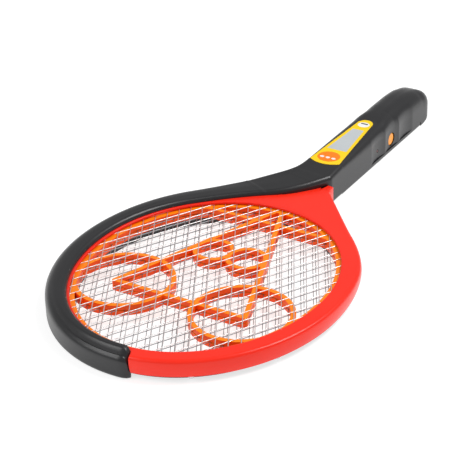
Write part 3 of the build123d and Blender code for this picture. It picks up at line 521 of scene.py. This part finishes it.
# Cross-section of the upper shell, in millimetres unless it says share
CORNER = 4.5  # corner radius on the neck and beside the label's wide end
CORNER_ON_LABEL = 6.0  # how much the corner grows along the label
CORNER_ON_GRIP = 6.5  # how much more it grows over the grip
GRIP_EASE = 35.0  # length over which it does
ARM_CORNER_IN, ARM_CORNER_OUT = 3.6, 8.0  # corner radii of the arm's top
ARM_FALL, SKIRT_FALL = 1.2, 3.0  # how far the arm's top falls outward
FALL_FROM, FALL_OVER = 0.40, 0.50  # shares of the width where the fall begins and its length
CREASE_AT, CREASE_WIDTH, CREASE_DEPTH = 0.70, 0.06, 1.6  # two shares of the width, and a depth
DENT_Z, DENT_FADE = 20.0, 13.0  # finger scoops are full below this height and fade over this one
END_HEIGHT = 0.35  # share of its height that a ring would keep at no width
SKIRT_FULL, SKIRT_FADE = 0.10, 0.35  # shares of the arm: with a full skirt, and where it fades


def corner_radius(x):
    """The top's corner radius along the handle: tight beside the label's wide end, then fuller."""
    on_label = clamp((x - LABEL_X) / LABEL_L)
    on_grip = smooth((x - LABEL_X - LABEL_L) / GRIP_EASE)
    return CORNER + CORNER_ON_LABEL * on_label + CORNER_ON_GRIP * on_grip


def section(station, low, top, arm, end=1.0, inset=0.0, corner=CORNER, dent=0.0, skirt=0.0):
    """A closed ring across the upper shell: inner wall, rounded top and outer wall.

    arm runs from 0 on the handle to 1 on the arm, whose inner edge is a raised bead over the red
    frame. skirt runs to 1 near the arm's end, where a crease parts the bead from a lower skirt.
    end is the share of its width that the ring keeps. inset moves the ring in by a wall's thickness
    and takes its foot below the parting line. dent pushes the side walls in, less and less towards
    the top."""
    foot, over, outer = station
    if inset:
        over = foot
    width = (outer - over).length
    along = (outer - over) / width
    over = over + along * inset
    foot = foot + along * inset
    width -= 2 * inset
    top -= inset
    low -= inset
    height = top - low
    ledge = min(HEAD_TOP + 0.2, low + height * 0.75)
    r_in = min(corner + (ARM_CORNER_IN - corner) * arm, height * 0.48, width * 0.42)
    if (foot - over).length > 0.5:
        r_in = min(r_in, top - ledge - 0.1)
    r_out = min(corner + (ARM_CORNER_OUT - corner) * arm, height * 0.48, width * 0.5)
    start = min(ledge, top - r_in)
    bends = [math.pi / 2 * i / 10 for i in range(11)]
    profile = [(0.0, start + (top - r_in - start) * i / 3) for i in range(4)]
    profile += [(r_in * (1 - math.cos(b)), top - r_in * (1 - math.sin(b))) for b in bends[1:]]
    flat = width - r_in - r_out
    profile += [(r_in + flat * i / 12, top) for i in range(1, 12)]
    profile += [(width - r_out * (1 - math.sin(b)), top - r_out * (1 - math.cos(b))) for b in bends]
    profile += [(width, top - r_out + (low - top + r_out) * i / 8) for i in range(1, 9)]
    centre = (foot + outer) / 2
    tall = END_HEIGHT + (1 - END_HEIGHT) * end
    ring = []
    for n in range(6):
        z = low + (start - low) * n / 5
        push = dent * (1.0 - smooth((z - DENT_Z) / DENT_FADE))
        point = centre + (foot + along * push - centre) * end
        ring.append((point.x, point.y, low + (z - low) * tall))
    for u, z in profile:
        share = u / width
        up = clamp((z - low) / height)
        dip = skirt * CREASE_DEPTH * math.exp(-(((share - CREASE_AT) / CREASE_WIDTH) ** 2)) * up
        fall = (arm * ARM_FALL + skirt * SKIRT_FALL) * smooth((share - FALL_FROM) / FALL_OVER) * up
        push = dent * (1.0 - smooth((z - DENT_Z) / DENT_FADE)) * (1.0 - 2.0 * share)
        point = centre + (over + along * (u + push) - centre) * end
        ring.append((point.x, point.y, low + (z - dip - fall - low) * tall))
    for n in range(1, 6):
        point = centre + (outer.lerp(foot, n / 6) - centre) * end
        ring.append((point.x, point.y, low))
    return ring


def floor_section(inner, outer, low, high, radius, end=1.0):
    """A closed ring across the lower shell: a flat floor whose edges are rounded under."""
    width = (outer - inner).length
    along = (outer - inner) / width
    r = min(radius, width * 0.45, high - low - 0.2)
    bends = [math.pi / 2 * i / 6 for i in range(7)]
    profile = [(0.0, high), (0.0, high - (high - low - r) / 2)]
    profile += [(r * (1 - math.cos(b)), low + r * (1 - math.sin(b))) for b in bends]
    profile += [(r + (width - 2 * r) * i / 6, low) for i in range(1, 6)]
    profile += [(width - r * (1 - math.sin(b)), low + r * (1 - math.cos(b))) for b in bends]
    profile += [(width, high - (high - low - r) / 2), (width, high)]
    profile += [(width - width * i / 6, high) for i in range(1, 6)]
    ring = []
    for u, z in profile:
        point = inner + along * (width / 2 + (u - width / 2) * end)
        ring.append((point.x, point.y, z))
    return ring


ARM_STATIONS = arm_stations()
NECK_STATIONS = neck_stations()
HANDLE_STATIONS = handle_stations(NECK_STATIONS[-1][0].x)
BAY_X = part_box("battery_1")[0][0] / MM - 1.4
BAY_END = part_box("contact_link")[1][0] / MM
BAY_WALL = 1.3
BAY_TOP = 20.5
DOOR_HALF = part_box("battery_door")[1][1] / MM
DOOR_GAP = 0.3
DOOR_SLOT = (BAY_X, -DOOR_HALF - DOOR_GAP, -1.0), (TIP_X + 5, DOOR_HALF + DOOR_GAP, 3.0)
BUTTON_HOLE_R, LAMP_HOLE_R = 6.3, 1.6
BUTTON_HOLE_Y, LAMP_HOLE_Y = -9.0, -12.0  # where the two holes end inside the handle
WALL = 2.0
END_ROUND = 7.0  # length over which the arm's free end is rounded
END_WIDTH = 0.15  # share of its width left at the very end


def end_draw(point):
    """The share of its full width that a ring keeps near the arm's free end, 1 past the rounding."""
    far = (point - ARM_STATIONS[0][0]).length
    return END_WIDTH + (1 - END_WIDTH) * math.sqrt(1 - (1 - clamp(far / END_ROUND)) ** 2)


def upper_rings(inset, stop):
    """The upper shell's rings from the arm's end to a place along the handle.

    With an inset they are the hollow's rings, which start past the skirt: the arm's end is solid."""
    rings = []
    for n, station in enumerate(ARM_STATIONS):
        skirt = 1.0 - smooth((n / len(ARM_STATIONS) - SKIRT_FULL) / SKIRT_FADE)
        if inset == 0 or skirt == 0:
            draw = end_draw(station[0])
            rings.append(section(station, PARTING_Z, ARM_TOP, 1.0, draw, inset, skirt=skirt))
    for n, station in enumerate(NECK_STATIONS):
        part = n / (len(NECK_STATIONS) - 1)
        middle = (station[0].x + station[2].x) / 2
        rings.append(section(station, PARTING_Z, handle_top(middle), 1.0 - smooth(part), 1.0, inset))
    stepped = False
    for station in HANDLE_STATIONS:
        x = station[0].x
        if x > stop:
            break
        corner = corner_radius(x)
        if x > BASE_END and not stepped:
            rings.append(section(station, PARTING_Z, handle_top(x), 0.0, 1.0, inset, corner))
            stepped = True
        low = PARTING_Z if x <= BASE_END else handle_base(x)
        top = max(handle_top(x), low + 0.4)
        rings.append(section(station, low, top, 0.0, 1.0, inset, corner, scoop(x)))
    return rings


def build_upper_shell():
    """The upper shell: arm with bead, neck, ramp, scoops and domed end, hollow past the skirt."""
    shell = loft("upper_shell_skin", upper_rings(0.0, TIP_X), sharp=35.0)
    hollow = loft("hollow", upper_rings(WALL, BAY_X - BAY_WALL))
    cutters = [
        hollow,
        block("cut_bay", (BAY_X, -DOOR_HALF, PARTING_Z - 2), (BAY_END, DOOR_HALF, BAY_TOP)),
        block("cut_door", *DOOR_SLOT),
        bar_y("cut_button", BUTTON_X, BUTTON_Z, BUTTON_HOLE_R, -HANDLE_HALF - 2, BUTTON_HOLE_Y),
        bar_y("cut_lamp", LAMP_X, LAMP_Z, LAMP_HOLE_R, -HANDLE_HALF - 2, LAMP_HOLE_Y, 24),
    ]
    cut(shell, cutters)
    finish(shell, BLACK, "swatter", "black_plastic", "upper_shell")


def build_lower_shell():
    """The lower shell: the floor of the arm and the handle, its edges rounded under."""
    rings = []
    for foot, _, outer in ARM_STATIONS:
        rings.append(floor_section(foot, outer, 0.0, PARTING_Z, 3.0, end_draw(foot)))
    for foot, _, outer in NECK_STATIONS:
        rings.append(floor_section(foot, outer, 0.0, PARTING_Z, 3.0))
    for foot, _, outer in HANDLE_STATIONS:
        if foot.x < BASE_END:
            rings.append(floor_section(foot, outer, 0.0, PARTING_Z, 2.0))
    shell = loft("lower_shell_skin", rings, sharp=35.0)
    cutters = [
        block("cut_bay", (BAY_X, -DOOR_HALF, PARTING_Z - 2), (BAY_END, DOOR_HALF, PARTING_Z + 2)),
        block("cut_door", *DOOR_SLOT),
    ]
    cut(shell, cutters)
    finish(shell, BLACK, "swatter", "black_plastic", "lower_shell")


build_upper_shell()
build_lower_shell()


# ---------------------------------------------------------------- red frame
LIP_EDGE = 0.7  # corner radius at the opening's edge
RING_EDGE, RIM_EDGE = 0.8, 3.0  # outer corner radii by the arm and on the free side
RIM_TUCK = 2.0  # how far the free side's wall turns in at its foot
RIM_WALL = 1.8  # thickness of that wall
RIM_LEAN = 8.0  # how far it leans in by the neck
LEAN_FROM, LEAN_OVER = 45.0, 75.0  # where the lean starts past the widest point, and over what length
BEND_STEPS = 6


def red_outline():
    """The red frame's outer edge in three runs: the free side; tongue and seam; ring by the arm."""
    angle, _, foot = neck_line(RIM_W)
    start = math.pi + math.asin(ARM_END / (OPEN_HALF + RING_W))
    rim_steps, ring_steps = 160, 200
    rim = []
    for i in range(rim_steps + 1):
        a = start + (2 * math.pi - angle - start) * i / rim_steps
        rim.append(egg(a, RIM_NOSE, RIM_W, NECK_W))
    foot = Vector((foot.x, -foot.y))
    reach = (TONGUE_X - rim[-1].x) / (foot.x - rim[-1].x)
    tip = rim[-1].lerp(foot, reach)
    edge = [tip, Vector((TONGUE_X, TONGUE_Y))]
    a, b = OPEN_THROAT + WEB_W, OPEN_HALF + RING_W
    for p in reversed(seam_curve()):
        if p.x < TONGUE_X - 4.0 and ((p.x - HEAD_X) / a) ** 2 + (p.y / b) ** 2 > 1:
            edge.append(p - Vector((0.1, 0.1)))
    last = math.asin(edge[-1].y / b)
    ring = []
    for i in range(1, ring_steps):
        turn = last + (start - last) * i / ring_steps
        ring.append(egg(turn, RING_W, RING_W, WEB_W))
    return rim, edge, ring


def build_frame():
    """The upper frame: lip over the mesh, broad rim, side wall, web and thin ring by the arm."""
    rim, edge, ring = red_outline()
    outer = resample(rim, 150)
    outer += resample([rim[-1]] + edge, 50)[1:]
    outer += resample([edge[-1]] + ring, 200)[1:]
    outer += resample([ring[-1], rim[0]], 6)[1:-1]
    seat = SEAT_W + 0.2
    floor_z = RING_H + 0.2
    lip_z = LIP_Z + 0.05
    bends = [math.pi / 2 * i / BEND_STEPS for i in range(BEND_STEPS + 1)]
    rings = []
    for point in outer:
        angle = math.atan2(point.y / OPEN_HALF, (point.x - HEAD_X) / OPEN_THROAT)
        if point.x < HEAD_X:
            angle = math.atan2(point.y / OPEN_HALF, (point.x - HEAD_X) / OPEN_NOSE)
        inner = egg(angle, 0, 0, 0)
        width = (point - inner).length
        along = (point - inner) / width
        wide = smooth((width - RING_W) / 5.0)
        free = wide * (1.0 if point.y < -ARM_END + 1 and point.x < TONGUE_X - 1.0 else 0.0)
        r = RING_EDGE + (RIM_EDGE - RING_EDGE) * free
        base = floor_z + (RIM_BASE - floor_z) * free
        tuck = RIM_TUCK * free
        lean = RIM_LEAN * free * smooth((point.x - HEAD_X - LEAN_FROM) / LEAN_OVER)
        height = HEAD_TOP - base
        edge = width - lean * (1 - r / height)
        profile = [(seat, floor_z), (seat, lip_z), (0.0, lip_z), (0.0, HEAD_TOP - 0.9)]
        for b in bends:
            drop = LIP_EDGE * (1 - math.sin(b))
            profile.append((LIP_EDGE * (1 - math.cos(b)), HEAD_TOP - drop))
        profile += [(LIP_EDGE + (edge - r - LIP_EDGE) * i / 8, HEAD_TOP) for i in range(1, 8)]
        profile += [(edge - r * (1 - math.sin(b)), HEAD_TOP - r * (1 - math.cos(b))) for b in bends]
        for i in range(1, 9):
            drop = i / 8
            z = HEAD_TOP - r - (height - r) * drop
            profile.append((edge + (width - edge) * drop - tuck * drop**2.2, z))
        wall = width - tuck - RIM_WALL
        profile += [(wall, base), (wall, floor_z)]
        rings.append([(*(inner + along * u), z) for u, z in profile])
    piece = loft("frame_upper_skin", rings, closed=True, sharp=35.0)
    finish(piece, RED, "swatter", "red_plastic", "frame_upper")


build_frame()


# ---------------------------------------------------------------- wire meshes
WIRE_PITCH = 9.8
WIRE_LEAN = math.radians(29.0)  # either side of the handle's axis
WIRE_SIDES = 8
WIRES_EACH_WAY = 14
NET_GRIP = 1.8  # how far the wires run in under the frame
NET_REACH = 1400  # in tenths of a millimetre, beyond the opening's farthest point


def build_net(node, radius, material, phase):
    """A welded net of round wires, two families that cross in diamonds, in place of a CAD mesh.

    phase moves every wire sideways by a share of the pitch."""
    low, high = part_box(node)
    middle = (low[2] + high[2]) / 2 / MM
    a_nose, a_throat, b = OPEN_NOSE + NET_GRIP, OPEN_THROAT + NET_GRIP, OPEN_HALF + NET_GRIP
    points, faces = [], []
    sides = WIRE_SIDES
    for sign in (1, -1):
        along = Vector((math.cos(WIRE_LEAN), sign * math.sin(WIRE_LEAN)))
        across = Vector((-along.y, along.x))
        for n in range(-WIRES_EACH_WAY, WIRES_EACH_WAY + 1):
            start = Vector((HEAD_X, 0)) + across * ((n + phase) * WIRE_PITCH)
            inside = []
            for s in range(-NET_REACH, NET_REACH + 1, 5):
                p = start + along * (s / 10)
                a = a_throat if p.x > HEAD_X else a_nose
                if ((p.x - HEAD_X) / a) ** 2 + (p.y / b) ** 2 < 1:
                    inside.append(s / 10)
            if len(inside) < 3:
                continue
            z = middle + sign * radius * 0.45
            for s in (inside[0], inside[-1]):
                p = start + along * s
                for k in range(sides):
                    turn = 2 * math.pi * k / sides
                    q = p + across * (radius * math.cos(turn))
                    points.append((q.x, q.y, z + radius * math.sin(turn)))
            base = len(points) - 2 * sides
            for k in range(sides):
                m = (k + 1) % sides
                faces.append((base + k, base + m, base + sides + m, base + sides + k))
            faces.append(tuple(base + k for k in range(sides)))
            faces.append(tuple(base + sides + k for k in range(sides)))
    piece = mesh_object(node + "_wires", points, faces, sharp=60.0)
    finish(piece, material, "swatter", "mesh_wire", node)


build_net("mesh_upper", 0.38, WIRE, 0.0)
# the two lower nets take the darkened wire colour, painted shade
build_net("grid_inner", 0.30, SHADED_WIRE, 0.45)
build_net("mesh_lower", 0.30, SHADED_WIRE, 0.2)

# ---------------------------------------------------------------- label artwork
LABEL_HALF, LABEL_ROUND = 15.0, 7.5  # half width at the wide end, radius at the narrow end
LABEL_BOW = 4.5  # how far the wide end bows in
LABEL_TOP = 0.2  # the plate's face stands this far above the ramp
PLATE_T, PRINT_T = 0.7, 0.12  # thickness of the plate and of the printed patches
PLATE_LIFT, PRINT_LIFT, SECOND_LIFT = 0.10, 0.16, 0.20  # tops of plate and prints above that face


def on_ramp(x, y, lift):
    """A point on the label, x along it from its wide end, raised by lift."""
    slope = (LABEL_HIGH - LABEL_LOW) / LABEL_L
    return (LABEL_X + x - slope * lift, y, LABEL_LOW + slope * x + LABEL_TOP + lift)


def patch(name, outline, lift, material, thick=PRINT_T, nodes=()):
    """A thin printed patch on the label, from its outline in the label's own plane."""
    rings = [[on_ramp(x, y, z) for x, y in outline] for z in (lift - thick, lift)]
    finish(loft(name, rings, sharp=30.0), material, "swatter", "label_print", *nodes)


def oval(x, y, long, wide, count=48):
    """An oval's outline from its centre and its half length and half width."""
    turns = [2 * math.pi * i / count for i in range(count)]
    return [(x + long * math.cos(a), y + wide * math.sin(a)) for a in turns]


def bowed_plate():
    """The yellow plate's outline: a bowed wide end, straight sides and a round narrow end."""
    bow = [(LABEL_BOW * (i / 12) ** 2, LABEL_HALF * 0.96 * i / 12) for i in range(-12, 13)]
    lean = math.asin((LABEL_HALF - LABEL_ROUND) / LABEL_L)
    centre = LABEL_L - LABEL_ROUND
    steps = [math.pi / 2 - lean - (math.pi - 2 * lean) * i / 20 for i in range(21)]
    nose = [(centre + LABEL_ROUND * math.cos(a), LABEL_ROUND * math.sin(a)) for a in steps]
    return bow + nose


FIELD = [(27.5, -9.5), (70.0, -5.5), (70.0, 5.5), (27.5, 9.5)]
SPOT_MARK = [(81.4, -3.6), (83.2, -3.2), (83.2, 3.2), (81.4, 3.6)]
DASH_YS = (-5.2, 0.5, 6.2)

patch("label_face", bowed_plate(), PLATE_LIFT, YELLOW, PLATE_T, ("label_plate",))
patch("label_field", FIELD, PRINT_LIFT, SILVER)
patch("label_badge", oval(13.5, 0.5, 9.0, 10.5), PRINT_LIFT, OVAL)
for n, y in enumerate(DASH_YS):
    patch(f"label_badge_dash_{n}", oval(11.5, y, 1.5, 2.1, 24), SECOND_LIFT, WHITE)
patch("label_spot", oval(80.5, 0.0, 4.6, 5.6), PRINT_LIFT, WHITE)
patch("label_spot_mark", SPOT_MARK, SECOND_LIFT, INK)

# ---------------------------------------------------------------- stage, light and camera
# In metres and watts
OBJECT_MIDDLE = Vector((-0.13, 0, 0))
FLOOR_SIZE = 12
FLOOR_GREY, FLOOR_GLOW = 0.45, 0.72  # the floor glows a little, so that it stays pale in the shade
WORLD_LIGHT = 0.42
CAMERA_LENS = 129.1  # in millimetres, on a sensor 36 mm wide
CAMERA_PLACE = Vector((-1.2417, -0.6346, 0.7041))
CAMERA_TARGET = Vector((-0.1896, 0.0091, 0.0175))
CAMERA_ROLL = math.radians(-1.59)

bpy.ops.mesh.primitive_plane_add(size=FLOOR_SIZE, location=OBJECT_MIDDLE)
floor = bpy.context.object
floor.name = "floor"
paper, nodes, links, shader, coord = new_material("floor_paper")
shader.inputs["Base Color"].default_value = (FLOOR_GREY, FLOOR_GREY, FLOOR_GREY, 1)
shader.inputs["Emission Color"].default_value = (1, 1, 1, 1)
shader.inputs["Emission Strength"].default_value = FLOOR_GLOW
shader.inputs["Roughness"].default_value = 0.9
dress(floor, paper)

world = bpy.data.worlds.new("studio")
bpy.context.scene.world = world
world.use_nodes = True
background = world.node_tree.nodes["Background"]
background.inputs["Color"].default_value = (1, 1, 1, 1)
background.inputs["Strength"].default_value = WORLD_LIGHT


def soft_light(name, place, power, size):
    """A square area light that faces the object."""
    lamp = bpy.data.lights.new(name, "AREA")
    lamp.energy = power
    lamp.size = size
    holder = bpy.data.objects.new(name, lamp)
    bpy.context.scene.collection.objects.link(holder)
    holder.location = place
    aim = OBJECT_MIDDLE - Vector(place)
    holder.rotation_euler = aim.to_track_quat("-Z", "Y").to_euler()


soft_light("key", (0.5, -0.9, 1.7), 26, 0.8)
soft_light("fill", (-1.3, 0.9, 1.2), 12, 1.0)

camera_data = bpy.data.cameras.new("camera")
camera_data.lens = CAMERA_LENS
camera_data.sensor_width = 36.0
camera_data.clip_end = 50
camera = bpy.data.objects.new("camera", camera_data)
bpy.context.scene.collection.objects.link(camera)
turn = (CAMERA_TARGET - CAMERA_PLACE).to_track_quat("-Z", "Y").to_matrix().to_4x4()
roll = Matrix.Rotation(CAMERA_ROLL, 4, "Z")
camera.matrix_world = Matrix.Translation(CAMERA_PLACE) @ turn @ roll
bpy.context.scene.camera = camera
bpy.context.scene.view_settings.view_transform = "Standard"
